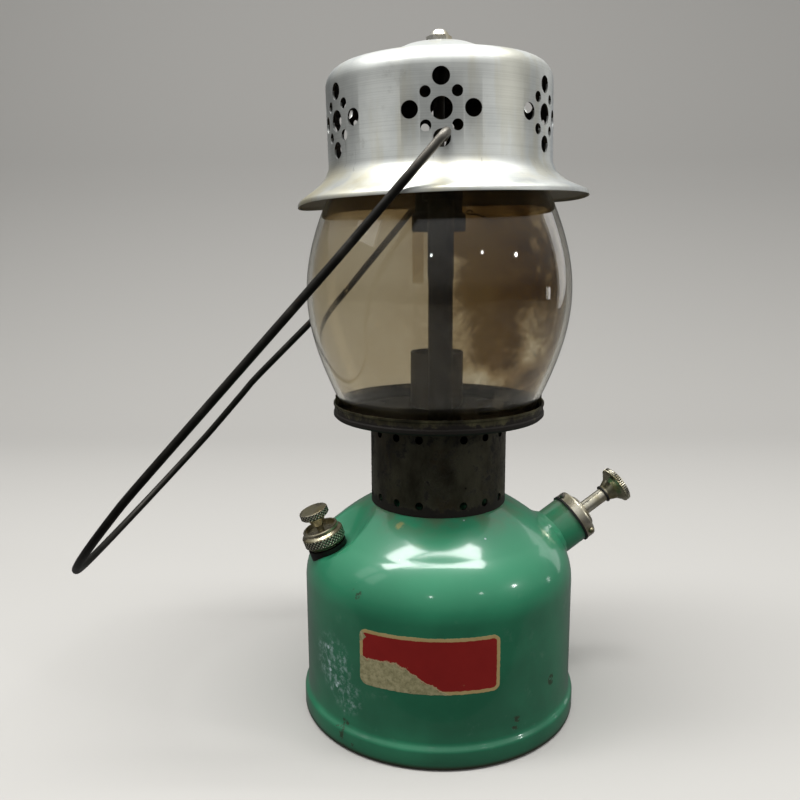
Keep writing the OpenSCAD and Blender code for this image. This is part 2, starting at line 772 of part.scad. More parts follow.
module burner_casting() {
    run_y = air_tube_y + generator_y;
    color("dimgray")
    difference() {
        union() {
            // sleeve over the air tube, with a chamfered mouth
            translate([0, -air_tube_y, air_joint_z]) cylinder(r1 = air_tube_r + 0.1, r2 = sleeve_r, h = 1.2);
            translate([0, -air_tube_y, air_joint_z + 1.2])
                cylinder(r = sleeve_r, h = casting_z - air_joint_z - 1);
            translate([0, -air_tube_y, casting_z]) cylinder(r = air_boss_r, h = casting_h);
            translate([-bar_w / 2, -air_tube_y, casting_z]) cube([bar_w, run_y, casting_h]);
            translate([0, 0, casting_z]) cylinder(r = burner_r - 1.5, h = casting_h);
            translate([0, generator_y, casting_z]) cylinder(r = generator_boss_r, h = casting_h);
            translate([0, 0, casting_top]) cylinder(r1 = air_boss_r, r2 = stud_r + 2.5, h = hub_rise);
        }
        translate([0, -air_tube_y, air_joint_z - bite]) cylinder(r = air_tube_r + fit, h = sleeve_grip + bite);
        translate([0, -air_tube_y, air_joint_z])
            cylinder(r = air_tube_r - air_tube_wall, h = passage_z + 2 - air_joint_z);
        translate([0, -air_tube_y, passage_z]) rotate([-90, 0, 0]) cylinder(r = passage_r, h = run_y);
        translate([0, generator_y, casting_z - bite]) cylinder(r = jet_r + fit, h = 5);
        translate([0, 0, casting_z - bite]) cylinder(r = mouth_r, h = 4 + bite);
        translate([0, 0, casting_top - stud_grip]) cylinder(r = stud_r + fit, h = 10);
    }
}

module burner_cap() {
    top = casting_z - fit;
    groove_z = casting_z - 4.5;
    color("dimgray")
    difference() {
        rotate_extrude() polygon([
            [0, burner_z], [burner_r - 0.6, burner_z], [burner_r, burner_z + 0.6], [burner_r, groove_z - 0.8],
            [burner_r - 0.8, groove_z], [burner_r - 1.5, groove_z + 0.6], [burner_r - 1.5, top], [0, top]]);
        translate([0, 0, burner_z - bite]) cylinder(r = burner_r - 1.6, h = 5 + bite);
        translate([0, 0, burner_z]) cylinder(r = mouth_r, h = 30);
    }
}

module burner_screen() {
    color("gray")
    translate([0, 0, burner_z + 5 - screen_t - fit]) difference() {
        cylinder(r = burner_r - 1.6 - fit, h = screen_t);
        for (ring_r = [3, 6, 9], i = [0:2 * ring_r - 1]) rotate(180 * i / ring_r)
            translate([ring_r, 0, -bite]) cylinder(r = 0.7, h = 3, $fn = 16);
    }
}

module vent_stud() {
    foot = casting_top - stud_grip;
    under = vent_top_z - vent_wall - fit;
    color("silver")
    difference() {
        union() {
            translate([0, 0, foot]) cylinder(r = stud_r, h = vent_top_z + 4 - foot);
            translate([0, 0, under - 3.4]) cylinder(r1 = 3.4, r2 = stud_seat_r, h = 2.4);
            translate([0, 0, under - 1]) cylinder(r = stud_seat_r, h = 1);
        }
    }
}

// Globe: a barrel between two short straight necks
module globe() {
    half = globe_len / 2 - globe_neck;
    steps = 24;
    bulge = [for (i = [0:steps])
        let (u = -1 + 2 * i / steps)
        [globe_end_r + globe_bulge * pow(max(cos(90 * u), 0), 0.96), globe_z + globe_len / 2 + half * u]];
    color([0.85, 0.87, 0.84, 0.4])
    spun(concat([[globe_end_r, globe_z]], bulge, [[globe_end_r, globe_z + globe_len]]), glass);
}

// Ventilator: brim, wall and crown spun in one piece, then pierced
function vent_path() =
    let (corner = [vent_r - crown_round, crown_z], lip = brim_z + 1.2, flare = brim_r - vent_r)
    concat(
        [[brim_r, brim_z], [brim_r, lip], [brim_r - 0.7, lip + 0.9],
         [vent_r + 0.72 * flare, lip + 2.6], [vent_r + 0.46 * flare, lip + 4.6],
         [vent_r + 0.24 * flare, lip + 7], [vent_r + 0.09 * flare, lip + 9.6], [vent_r, lip + 13.2]],
        arc(corner, crown_round, 0, 78, 8),
        [[34, vent_top_z - 8.1], [30, vent_top_z - 7.2], [25, vent_top_z - 5.2], [20, vent_top_z - 2.9],
         [15.5, vent_top_z - 1], [11, vent_top_z - 0.1], [8, vent_top_z], [hub_hole_r, vent_top_z]]
    );

// One round hole through the wall, given across and up from the middle of its pattern
module wall_hole(across, up, r) {
    rotate(across / vent_r * 180 / PI) translate([vent_r - 6, 0, pattern_z + up])
        rotate([0, 90, 0]) cylinder(r = r, h = 12, $fn = 32);
}

module ventilator() {
    color("gainsboro")
    difference() {
        spun(vent_path(), vent_wall);
        for (i = [0:patterns - 1]) rotate(-90 + 360 * i / patterns) {
            wall_hole(0, 0, big_hole_r);
            for (side = [-1, 1]) {
                wall_hole(0, side * mid_hole_reach, mid_hole_r);
                wall_hole(side * (mid_hole_reach + 0.8), 0, mid_hole_r);
                for (other = [-1, 1])
                    wall_hole(side * small_hole_reach, other * small_hole_reach, small_hole_r);
            }
        }
    }
}

module vent_nut() {
    color("silver")
    translate([0, 0, vent_top_z + fit]) difference() {
        union() {
            hexagon(nut_across, 3.6);
            translate([0, 0, 3.6]) cylinder(r1 = nut_across / 2 - 0.3, r2 = 3.4, h = 2);
            translate([0, 0, 5.6]) cylinder(r1 = 3.4, r2 = 1.4, h = 1.1);
        }
        translate([0, 0, -bite]) cylinder(r = stud_r + run, h = 4.2 + bite);
    }
}

// Bail: one wire, drawn in its own plane with X along its legs, then leaned to its resting place.
// Its bends are a hair thicker than its straight stretches, which run a little way into them.
module wire(length) {
    translate([0, 0, -wire_bite]) cylinder(r = wire_r, h = length + 2 * wire_bite, $fn = 32);
}

module bend(r, angle) {
    rotate_extrude(angle = angle, $fn = 96) translate([r, 0]) circle(r = wire_r + 0.03, $fn = 32);
}

module bail() {
    start_x = hook_turn * (1 - sin(bail_spread));
    end_r = (bail_half + (bail_len - start_x) * tan(bail_spread))
        / (cos(bail_spread) + tan(bail_spread) * (1 + sin(bail_spread)));
    end_x = bail_len - end_r;
    leg = norm([end_x - end_r * sin(bail_spread) - start_x, end_r * cos(bail_spread) - bail_half]);
    elbow_y = bail_half - hook_turn * cos(bail_spread);
    hook_y = vent_r - hook_reach;
    color("darkslategray")
    translate([0, 0, hinge_z]) rotate([0, 90 + bail_lean, 0]) {
        for (side = [0, 1]) mirror([0, side, 0]) {
            translate([0, hook_y, 0]) rotate([-90, 0, 0]) wire(elbow_y - hook_y);
            translate([hook_turn, elbow_y, 0]) rotate(90 + bail_spread) bend(hook_turn, 90 - bail_spread);
            translate([start_x, bail_half, 0]) rotate(bail_spread) rotate([0, 90, 0]) wire(leg);
        }
        translate([end_x, 0, 0]) rotate(-90 - bail_spread) bend(end_r, 180 + 2 * bail_spread);
    }
}

fount_shell();
fount_bottom();
filler_boss();
filler_gasket();
filler_cap();
bleed_screw();
pump_tube();
pump_ring();
pump_cap();
pump_cap_screws();
check_valve();
air_stem();
pump_cup();
plunger_rod();
knob_washer();
pump_knob();
valve_bung();
fuel_tube();
valve_body();
packing_nut();
valve_stem();
control_knob();
knob_screw();
cleaning_lever();
cleaning_needle();
collar();
globe_rest();
heat_shield();
jam_nut();
generator();
generator_tip();
air_tube();
burner_casting();
burner_cap();
burner_screen();
vent_stud();
globe();
ventilator();
vent_nut();
bail();
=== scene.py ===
"""Pressure camping lantern: a green steel fount with a hand pump, a perforated collar, a glass globe,
a spun ventilator and a wire bail."""

import math

import bmesh
import bpy
from mathutils import Matrix, Vector


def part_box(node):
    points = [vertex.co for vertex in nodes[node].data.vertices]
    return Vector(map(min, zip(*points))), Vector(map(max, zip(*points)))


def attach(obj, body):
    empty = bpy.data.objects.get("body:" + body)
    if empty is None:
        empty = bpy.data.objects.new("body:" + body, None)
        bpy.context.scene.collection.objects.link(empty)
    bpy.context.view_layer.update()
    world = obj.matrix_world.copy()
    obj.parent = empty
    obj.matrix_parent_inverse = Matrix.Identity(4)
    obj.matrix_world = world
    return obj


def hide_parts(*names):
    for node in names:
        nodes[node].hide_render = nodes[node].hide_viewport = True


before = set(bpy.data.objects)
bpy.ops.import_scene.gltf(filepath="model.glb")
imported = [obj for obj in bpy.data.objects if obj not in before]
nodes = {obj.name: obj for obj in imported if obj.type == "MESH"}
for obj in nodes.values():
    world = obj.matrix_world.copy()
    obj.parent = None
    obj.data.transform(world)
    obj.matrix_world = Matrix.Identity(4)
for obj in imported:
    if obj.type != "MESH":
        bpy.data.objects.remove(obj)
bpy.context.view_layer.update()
MM = 0.001


# ---------------------------------------------------------------------------------------------
# Fount: a drawn steel tank in gloss green enamel. The dome is pressed flat round the filler and
# brazed to the pump tube, and the skirt is seamed over the bottom. The enamel is scuffed white at
# the left of the front, chipped to rust along the foot, and carries a plain worn paper label.
# ---------------------------------------------------------------------------------------------
class Sock:
    """A node's output, with Python's operators for the shader maths on it."""

    def __init__(self, tree, out):
        self.tree, self.out = tree, out

    def node(self, kind, links, take=0, **settings):
        """A new node of this kind with these settings, its sockets set or linked, as its chosen output."""
        made = self.tree.nodes.new("ShaderNode" + kind)
        for name, value in settings.items():
            setattr(made, name, value)
        for name, value in links.items():
            if isinstance(value, Sock):
                self.tree.links.new(value.out, made.inputs[name])
            else:
                made.inputs[name].default_value = value
        return Sock(self.tree, made.outputs[take] if made.outputs else None)

    def maths(self, operation, *others):
        return self.node("Math", dict(enumerate((self, *others))), operation=operation)

    def __add__(self, other):
        return self.maths("ADD", other)

    __radd__ = __add__

    def __sub__(self, other):
        return self.maths("SUBTRACT", other)

    def __rsub__(self, other):
        return self.node("Math", {0: other, 1: self}, operation="SUBTRACT")

    def __mul__(self, other):
        return self.maths("MULTIPLY", other)

    __rmul__ = __mul__

    def __pow__(self, other):
        return self.maths("POWER", other)

    def __neg__(self):
        return self * -1

    def rise(self, start, end):
        """0 below start and 1 above end, eased in between. It falls where start is above end."""
        return self.node("MapRange", {"Value": self, "From Min": start, "From Max": end},
                         interpolation_type="SMOOTHSTEP")

    def between(self, low, high, soft):
        """1 from low to high, and 0 outside, over soft."""
        return self.rise(low - soft, low) * self.rise(high + soft, high)

    def mix(self, a, b):
        """Colour a where this is 0 and colour b where it is 1."""
        start, end = (c if isinstance(c, Sock) else (*c, 1) for c in (a, b))
        return self.node("Mix", {0: self, 6: start, 7: end}, take=2, data_type="RGBA")


class Finish:
    """A material in the making. p is the place on the piece, in metres in the lantern's frame."""

    def __init__(self, name):
        self.material = bpy.data.materials.new(name)
        self.material.use_nodes = True
        self.tree = self.material.node_tree
        self.tree.nodes.clear()
        start = Sock(self.tree, None)
        self.node = start.node
        self.p = self.node("TexCoord", {}, take=3)
        self.x, self.y, self.z = (self.node("SeparateXYZ", {0: self.p}, take=i) for i in range(3))

    def moved(self, scale=(1, 1, 1), turn=(0, 0, 0)):
        """The place scaled and turned, which draws noise out along one direction."""
        return self.node("Mapping", {"Vector": self.p, "Rotation": turn, "Scale": scale})

    def blotch(self, size, seed=0.0, detail=4, rough=0.55, twist=0.0, at=None):
        """Cloudy noise from 0 to 1 with patches of about this size in metres."""
        return self.node("TexNoise", {"Vector": at or self.p, "W": seed, "Scale": 1 / size, "Detail": detail,
                                      "Roughness": rough, "Distortion": twist}, noise_dimensions="4D")

    def specks(self, spacing, radius, seed, share):
        """Small spots of up to this radius, one to a cell. share is the part of the cells with a spot."""
        links = {"Vector": self.p, "W": seed, "Scale": 1 / spacing}
        near = self.node("TexVoronoi", links, voronoi_dimensions="4D")
        hue = self.node("TexVoronoi", links, take=1, voronoi_dimensions="4D")
        pick = self.node("SeparateXYZ", {0: hue})
        return near.rise(radius / spacing, 0.6 * radius / spacing) * pick.rise(share + 0.01, share - 0.01)

    def around(self, point, radius, soft):
        """1 within radius of a point and 0 beyond radius + soft."""
        far = self.node("VectorMath", {0: self.p, 1: tuple(point)}, take=1, operation="DISTANCE")
        return far.rise(radius + soft, radius)

    def off_axis(self, point, axis):
        """Distance from the line through a point along an axis."""
        away = self.node("VectorMath", {0: self.p, 1: tuple(point)}, operation="SUBTRACT")
        side = self.node("VectorMath", {0: away, 1: tuple(axis)}, operation="CROSS_PRODUCT")
        return self.node("VectorMath", {0: side}, take=1, operation="LENGTH")

    def placed(self, stand):
        """The place as x, y and z along the axes of a piece that stands at this matrix."""
        back = stand.inverted()
        seen = self.node("Mapping", {"Vector": self.p, "Location": back.translation, "Rotation": back.to_euler()})
        return [self.node("SeparateXYZ", {0: seen}, take=i) for i in range(3)]

    def surface(self, base, rough, metal=0.0, bump=None, depth=0.0001, coat=0.0, **constants):
        """The Principled shader of this finish, with any constant sockets such as IOR."""
        links = {"Base Color": base if isinstance(base, Sock) else (*base, 1),
                 "Roughness": rough, "Metallic": metal, "Coat Weight": coat}
        links.update({name.replace("_", " "): value for name, value in constants.items()})
        if bump is not None:
            links["Normal"] = self.node("Bump", {"Strength": 1.0, "Distance": depth, "Height": bump})
        return self.node("BsdfPrincipled", links)

    def done(self, shader):
        self.node("OutputMaterial", {"Surface": shader})
        return self.material


def colour(text):
    """A colour written as in a paint chart, such as 2f8c66, as linear red, green and blue."""
    values = [int(text[i:i + 2], 16) / 255 for i in (0, 2, 4)]
    return tuple(v / 12.92 if v <= 0.04045 else ((v + 0.055) / 1.055) ** 2.4 for v in values)


def dress(material, *names):
    """Puts one material on the pieces of these names."""
    for name in names:
        piece = nodes[name]
        piece.data.materials.clear()
        piece.data.materials.append(material)


def arc(centre, radius, start, end, steps):
    """Points of an arc from one angle to another, in degrees."""
    turn = [math.radians(start + (end - start) * i / steps) for i in range(steps + 1)]
    return [Vector((centre[0] + radius * math.cos(a), centre[1] + radius * math.sin(a))) for a in turn]


def beside(path, thickness):
    """The path moved to its left by the sheet's thickness."""
    moved = []
    for i, point in enumerate(path):
        before = (path[max(i, 1)] - path[max(i - 1, 0)]).normalized()
        after = (path[min(i + 1, len(path) - 1)] - path[min(i, len(path) - 2)]).normalized()
        out = [Vector((d.y, -d.x)) for d in (before, after)]
        mean = (out[0] + out[1]).normalized()
        moved.append(point - mean * (thickness / mean.dot(out[0])))
    return moved


def lathe(name, outline, steps=192):
    """A closed outline of (radius, height) points turned about the lantern's axis."""
    mesh = bmesh.new()
    rings = []
    for k in range(steps):
        a = 2 * math.pi * k / steps
        rings.append([mesh.verts.new((r * math.cos(a), r * math.sin(a), z)) for r, z in outline])
    for k in range(steps):
        one, two = rings[k], rings[(k + 1) % steps]
        for i in range(len(outline)):
            j = (i + 1) % len(outline)
            mesh.faces.new((one[i], two[i], two[j], one[j]))
    bmesh.ops.recalc_face_normals(mesh, faces=mesh.faces)
    return built(name, mesh)


SHARP = math.radians(40)


def built(name, mesh):
    """The mesh as an object in the scene, smooth except at sharp edges."""
    data = bpy.data.meshes.new(name)
    mesh.to_mesh(data)
    mesh.free()
    data.shade_smooth()
    data.set_sharp_from_angle(angle=SHARP)
    piece = bpy.data.objects.new(name, data)
    bpy.context.scene.collection.objects.link(piece)
    return piece


def punch(piece, cutters):
    """Cuts the cutters out of the piece, and applies the cut."""
    tool = built("punch", cutters)
    cut = piece.modifiers.new("holes", "BOOLEAN")
    cut.object, cut.operation, cut.solver = tool, "DIFFERENCE", "EXACT"
    bpy.context.view_layer.update()
    after = bpy.data.meshes.new_from_object(piece.evaluated_get(bpy.context.evaluated_depsgraph_get()))
    piece.modifiers.clear()
    piece.data = after
    bpy.data.objects.remove(tool)
    after.set_sharp_from_angle(angle=SHARP)


fount_r, dome_z, shoulder_z, shoulder_round = (v * MM for v in (63.5, 100.3, 64, 28))
fount_wall = 0.8 * MM


def leaning(turn, rise, reach, height):
    """The matrix of a fitting whose own z axis leans out of the dome."""
    place = Matrix.Rotation(math.radians(turn), 4, "Z") @ Matrix.Translation((reach * MM, 0, height * MM))
    return place @ Matrix.Rotation(math.radians(90 - rise), 4, "Y")


FILLER = leaning(195.4, 70, 54.4, 83.2)
PUMP = leaning(15.4, 32, 70.8, 83.4)
flat_r, flat_blend, flat_depth, flat_soft = (v * MM for v in (13, 2.2, 2.9, 1.6))
flat_slope = math.tan(math.radians(50))
braze_r, braze_width, braze_rise = 12, 5, 2.2  # in millimetres
filler_bore, pump_bore = 9.03 * MM, 11.95 * MM


def pressed(co, sheet):
    """Where a point of the round tank lies once the flat is pressed in and the pump tube is brazed on."""
    seat, axis = FILLER.translation, FILLER.to_3x3().col[2]
    up = (co - seat).dot(axis)
    apart = (co - seat - up * axis).length - flat_r
    floor = 0.5 * (apart + math.hypot(apart, flat_blend)) / flat_slope - flat_depth - sheet
    if up > floor - flat_soft:
        low = min(up, floor) - max(flat_soft - abs(up - floor), 0) ** 2 / (4 * flat_soft)
        co = co + (low - up) * axis
    seat, axis = PUMP.translation, PUMP.to_3x3().col[2]
    up = (co - seat).dot(axis)
    apart = (co - seat - up * axis).length / MM - braze_r
    if up > -0.05 and apart < braze_width:
        co = co + (1 - max(apart, 0) / braze_width) ** 2 * braze_rise * MM * axis
    return co


middle = Vector((fount_r - shoulder_round, shoulder_z))
bend_end = middle + shoulder_round * Vector((math.cos(math.radians(55)), math.sin(math.radians(55))))
crest = Vector((31.95 * MM, dome_z))
tank = [Vector((r * MM, z * MM)) for r, z in (
    (64.8, 0.5), (65.2, 0.8), (65.4, 1.4), (65.4, 5), (65.4, 8.2), (65.25, 8.9), (64.8, 9.6), (64.2, 10.2),
    (63.75, 11), (63.5, 12.2), (63.5, 18), (63.5, 26), (63.5, 34), (63.5, 42), (63.5, 50), (63.5, 57))]
tank += arc(middle, shoulder_round, 0, 55, 30)
bow = Vector((0.2, 0.8)) * MM * 4
tank += [bend_end.lerp(crest, t / 18) + bow * (t / 18) * (1 - t / 18) for t in range(1, 19)]
tank += [Vector((r * MM, z * MM)) for r, z in ((30.3, 100.3), (26, 102.3), (22, 102.9), (9.03, 102.9))]
outline = tank + beside(tank, fount_wall)[::-1]
fount = lathe("enamelled_fount", outline, steps=320)
for vertex in fount.data.vertices:
    inside = vertex.index % len(outline) >= len(tank)
    if vertex.co.z > 45 * MM:
        vertex.co = pressed(vertex.co.copy(), fount_wall if inside else 0)
bores = bmesh.new()
for stand, radius in ((FILLER, filler_bore), (PUMP, pump_bore)):
    bmesh.ops.create_cone(bores, cap_ends=True, segments=96, radius1=radius, radius2=radius, depth=40 * MM,
                          matrix=stand)
punch(fount, bores)

GREEN, DEEP_GREEN, CHALK, PAINTED_TOP_LIGHT = colour("297c59"), colour("1f684a"), colour("86a895"), colour("3a9d73")
RUST, BARE, DUST = colour("3f3020"), colour("2f2f26"), colour("716b55")


def worn_label(f, base):
    """The enamel colour with a plain paper label stuck on it, then where paper lies and where it is torn."""
    along = f.x.maths("ARCTAN2", -f.y) * fount_r
    ragged = (f.blotch(0.005, seed=21, detail=7, rough=0.7) - 0.5) * 0.009
    worn = (f.blotch(0.0015, seed=22, detail=4) - 0.5) * 0.0009
    half_w, half_h, corner, leftward, height = (v * MM for v in (31, 12.7, 3.4, 7, 46.8))
    out_x = (along + leftward).maths("ABSOLUTE") - (half_w - corner)
    out_z = (f.z - height).maths("ABSOLUTE") - (half_h - corner)
    beyond = (out_x.maths("MAXIMUM", 0) ** 2 + out_z.maths("MAXIMUM", 0) ** 2) ** 0.5
    edge = beyond + out_x.maths("MAXIMUM", out_z).maths("MINIMUM", 0) - corner + worn
    paper = edge.rise(0.05 * MM, -0.15 * MM)
    field = f.blotch(0.006, seed=23, detail=6).mix(colour("8a1614"), colour("a01f1a"))
    cream = f.blotch(0.004, seed=24, detail=6).mix(colour("b39a5f"), colour("cdb583"))
    rubbed = f.blotch(0.003, seed=27, detail=7, rough=0.7).rise(0.66, 0.72) * 0.8
    printed = edge.rise(-1.75 * MM, -1.45 * MM).mix(rubbed.mix(field, cream), cream)
    tear = 46.3 * MM - (along + 20 * MM).maths("MAXIMUM", 0) * 0.56 + ragged
    corner_off = (along + 35.5 * MM + (f.z - 56 * MM).maths("ABSOLUTE") * 0.9 + ragged).rise(0.6 * MM, 0.2 * MM)
    torn = ((f.z - tear).rise(0.15 * MM, -0.15 * MM) + corner_off).maths("MINIMUM", 1)
    fringe = (f.z - tear + ragged * 0.3).between(0, 0.35 * MM, 0.25 * MM) * 0.8
    printed = fringe.mix(printed, colour("c9bd92"))
    pulp = f.blotch(0.0022, seed=25, detail=6, rough=0.7).rise(0.35, 0.65).mix(colour("8f8a63"), colour("b9b089"))
    specks = f.blotch(0.0009, seed=26, detail=3).rise(0.60, 0.68) * 0.5
    backing = specks.mix(pulp, colour("5f6b4d"))
    return paper.mix(base, torn.mix(printed, backing)), paper, torn * paper


def green_enamel():
    """Gloss green enamel with its fading, grime, chips, scratches and scuffs, painted light on its top, and the
    label on it.
    """
    f = Finish("green_enamel")
    cloud = f.blotch(0.030, seed=1, detail=5)
    base = cloud.rise(0.3, 0.7).mix(DEEP_GREEN, GREEN)
    faded = f.blotch(0.008, seed=4, detail=7, rough=0.65).rise(0.58, 0.78) * 0.22
    base = faded.mix(base, CHALK)
    # painted light: the shoulder and dome are painted lighter towards the top, where the light from above falls
    base = (f.z.rise(0.055, 0.090) * 0.75).mix(base, PAINTED_TOP_LIGHT)
    # grime under the collar, and a brown stain on the pump tube and the dome round it
    grime = f.z.rise(0.092, 0.101) * f.blotch(0.010, seed=9, detail=6).rise(0.35, 0.65) * 0.55
    pump_side = f.around(PUMP @ Vector((0, 0, -3 * MM)), 0.011, 0.013)
    pump_side = pump_side * f.blotch(0.008, seed=10, detail=7).rise(0.2, 0.75) * f.z.rise(0.078, 0.096)
    base = (grime + pump_side * 0.9).maths("MINIMUM", 0.9).mix(base, DUST)
    # chips: the dark line of the foot, patches on the skirt, a few freckles, and single larger marks
    clouds = f.blotch(0.005, seed=12, detail=7, rough=0.65)
    foot = f.z.rise(0.0030, 0.0012)
    low = f.z.rise(0.016, 0.003)
    patches = (clouds + low * 0.05).rise(0.745, 0.765)
    freckles = f.specks(0.0085, 0.0006, seed=3, share=0.10)
    marks = [f.around(at, size, 0.0012) * clouds.rise(need, need + 0.04) for at, size, need in (
        ((0.0311, -0.0553, 0.0163), 0.0025, 0.50), ((-0.0449, -0.0475, 0.0061), 0.007, 0.56),
        ((0.0485, -0.0410, 0.0286), 0.0020, 0.48), ((-0.0369, -0.0497, 0.0735), 0.0018, 0.50))]
    single = sum(marks[1:], marks[0])
    rust = (foot * 0.9 + patches + freckles + single * 0.75).maths("MINIMUM", 1)
    base = rust.mix(base, f.blotch(0.0022, seed=2).mix(RUST, BARE))
    yellow = f.around((-0.0182, -0.0323, 0.0973), 0.0013, 0.0014) * clouds.rise(0.44, 0.52) * 0.75
    base = yellow.mix(base, colour("a5a468"))
    # fine scratches, flecks on the dome, and white scuffs at the left of the front
    lines = f.blotch(0.0010, seed=5, detail=2, at=f.moved((1, 1, 0.05), turn=(0.5, 0.3, 0)))
    scratched = lines.rise(0.72, 0.76) * f.blotch(0.02, seed=8).rise(0.5, 0.6) * 0.3
    flecks = f.around((0.016, -0.0315, 0.0978), 0.010, 0.004) * f.specks(0.0030, 0.0007, seed=17, share=0.35)
    smear = f.blotch(0.0032, seed=6, detail=7, rough=0.72)
    spots = f.specks(0.0036, 0.0011, seed=18, share=0.30)
    scuffs = (f.around((-0.0495, -0.0410, 0.0375), 0.007, 0.009)
              + f.around((-0.0420, -0.0470, 0.0255), 0.004, 0.007)).maths("MINIMUM", 1)
    scuffs = scuffs * (smear.rise(0.46, 0.68) * 0.7 + spots * smear.rise(0.38, 0.5) * 1.2)
    base = (scratched + flecks + scuffs).maths("MINIMUM", 1).mix(base, colour("bfd9d8"))
    base, paper, torn = worn_label(f, base)
    rust = rust * (1 - paper)
    rough = 0.27 + 0.12 * f.blotch(0.01, seed=14, detail=5) + rust * 0.4 + scuffs * 0.25 + paper * 0.2 + torn * 0.3
    height = f.blotch(0.0016, seed=7, detail=2) * 0.08 - rust * 0.7 - scuffs * 0.15 + paper * 0.6 - torn * 0.35
    height = height + torn * f.blotch(0.0008, seed=28, detail=3) * 0.4
    coat = (0.8 - rust * 0.8 - paper * 0.75).maths("MAXIMUM", 0)
    return f.done(f.surface(base, rough, bump=height, depth=0.00012, coat=coat, Coat_Roughness=0.10,
                            Specular_IOR_Level=0.35))


GREEN_ENAMEL = green_enamel()
fount.data.materials.append(GREEN_ENAMEL)
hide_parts("fount_shell")
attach(fount, "lantern")
dress(GREEN_ENAMEL, "fount_bottom", "pump_tube")


# ---------------------------------------------------------------------------------------------
# Filler: a threaded boss in the pressed flat, black with old oil and with painted shade from the cap over it.
# The cap is worn nickel plate on brass with a diamond-knurled band and a rolled rim, and its bleed screw has a
# knurled knob.
# ---------------------------------------------------------------------------------------------
def nickel(name, stand=None, bands=(), tint="c6bfa6", dark="8d8668"):
    """Worn nickel plate. Each band is its two heights above the piece's foot, its teeth and its pitch."""
    f = Finish(name)
    dull = f.blotch(0.006, seed=1, detail=6).rise(0.35, 0.7)
    base = dull.mix(colour(tint), colour(dark))
    yellowed = f.blotch(0.009, seed=6, detail=5).rise(0.5, 0.7) * 0.5
    base = yellowed.mix(base, colour("a3905c"))
    pits = f.specks(0.0016, 0.0002, seed=2, share=0.4)
    grime = (pits + f.blotch(0.0025, seed=3, detail=6).rise(0.62, 0.74) * 0.5).maths("MINIMUM", 1)
    height = f.blotch(0.0008, seed=4) * 0.15 - pits * 0.3
    for low, high, teeth, pitch in bands:
        x, y, z = f.placed(stand)
        turn = y.maths("ARCTAN2", x) * (teeth / 2)
        climb = z * (math.pi / pitch) if pitch else z * 0
        band = z.between(low, high, 0.00012)
        peaks = (turn + climb).maths("SINE").maths("ABSOLUTE")
        peaks = peaks.maths("MINIMUM", (turn - climb).maths("SINE").maths("ABSOLUTE"))
        height = height + peaks * band * 2.4
        base = (band * peaks.rise(0.5, 0.8) * 0.8).mix(base, colour("e9e4d2"))
        grime = (grime + band * peaks.rise(0.62, 0.38)).maths("MINIMUM", 1)
    base = grime.mix(base, colour("15120d"))
    rough = 0.24 + 0.20 * dull + 0.3 * grime
    return f.done(f.surface(base, rough, metal=1 - 0.8 * grime, bump=height, depth=0.00013))


def brass():
    f = Finish("brass")
    tone = f.blotch(0.007, seed=2, detail=6)
    base = tone.mix(colour("7a6636"), colour("b29a58"))
    spots = f.blotch(0.003, seed=5, detail=5).rise(0.58, 0.7)
    return f.done(f.surface(spots.mix(base, colour("40361f")), 0.35 + 0.3 * spots, metal=1.0,
                            bump=spots * 0.6, depth=0.00005))


def rubber():
    f = Finish("black_rubber")
    dusty = f.blotch(0.003, seed=2, detail=5).rise(0.45, 0.7)
    return f.done(f.surface(dusty.mix(colour("141312"), colour("2f2c28")), 0.62 + 0.2 * dusty,
                            bump=f.blotch(0.0006, seed=3), depth=0.00005))


def oiled_black_and_shade():
    # black for old oil, and darker still as painted shade: the shade that the filler cap throws on its boss
    f = Finish("oiled_black_and_shade")
    grit = f.blotch(0.002, seed=3, detail=6, rough=0.7)
    return f.done(f.surface(grit.rise(0.5, 0.7).mix(colour("100f0c"), colour("2b261b")), 0.42 + 0.2 * grit,
                            metal=0.3, bump=grit, depth=0.0001))


NICKEL, BRASS, RUBBER = nickel("worn_nickel"), brass(), rubber()
dress(nickel("knurled_cap", FILLER, [(2.0 * MM, 5.5 * MM, 34, 1.75 * MM)]), "filler_cap")
dress(nickel("knurled_bleed_knob", FILLER, [(14.7 * MM, 17.5 * MM, 26, 1.6 * MM)]), "bleed_screw")
dress(oiled_black_and_shade(), "filler_boss")
dress(RUBBER, "filler_gasket")


# ---------------------------------------------------------------------------------------------
# Pump: a green tube brazed into the dome, a nickel cap held by four screws over a black ring, and a
# plunger with a leather cup, a hollow rod and a flared knob. The plunger is drawn a little out.
# ---------------------------------------------------------------------------------------------
def leather():
    f = Finish("oiled_leather")
    grain = f.node("TexVoronoi", {"Vector": f.p, "Scale": 1200.0}, feature="DISTANCE_TO_EDGE")
    return f.done(f.surface(f.blotch(0.004, seed=1).mix(colour("3b2414"), colour("5a3a22")), 0.55,
                            bump=grain.rise(0, 0.2), depth=0.0001))


dress(RUBBER, "pump_ring", "knob_washer")
dress(nickel("bright_nickel", tint="e8e3d2", dark="b3ac92"), "pump_cap", "plunger_rod")
dress(nickel("milled_knob", PUMP, [(0.0285, 0.0300, 52, 0)]), "pump_knob")
dress(BRASS, "check_valve", "air_stem")
dress(leather(), "pump_cup")

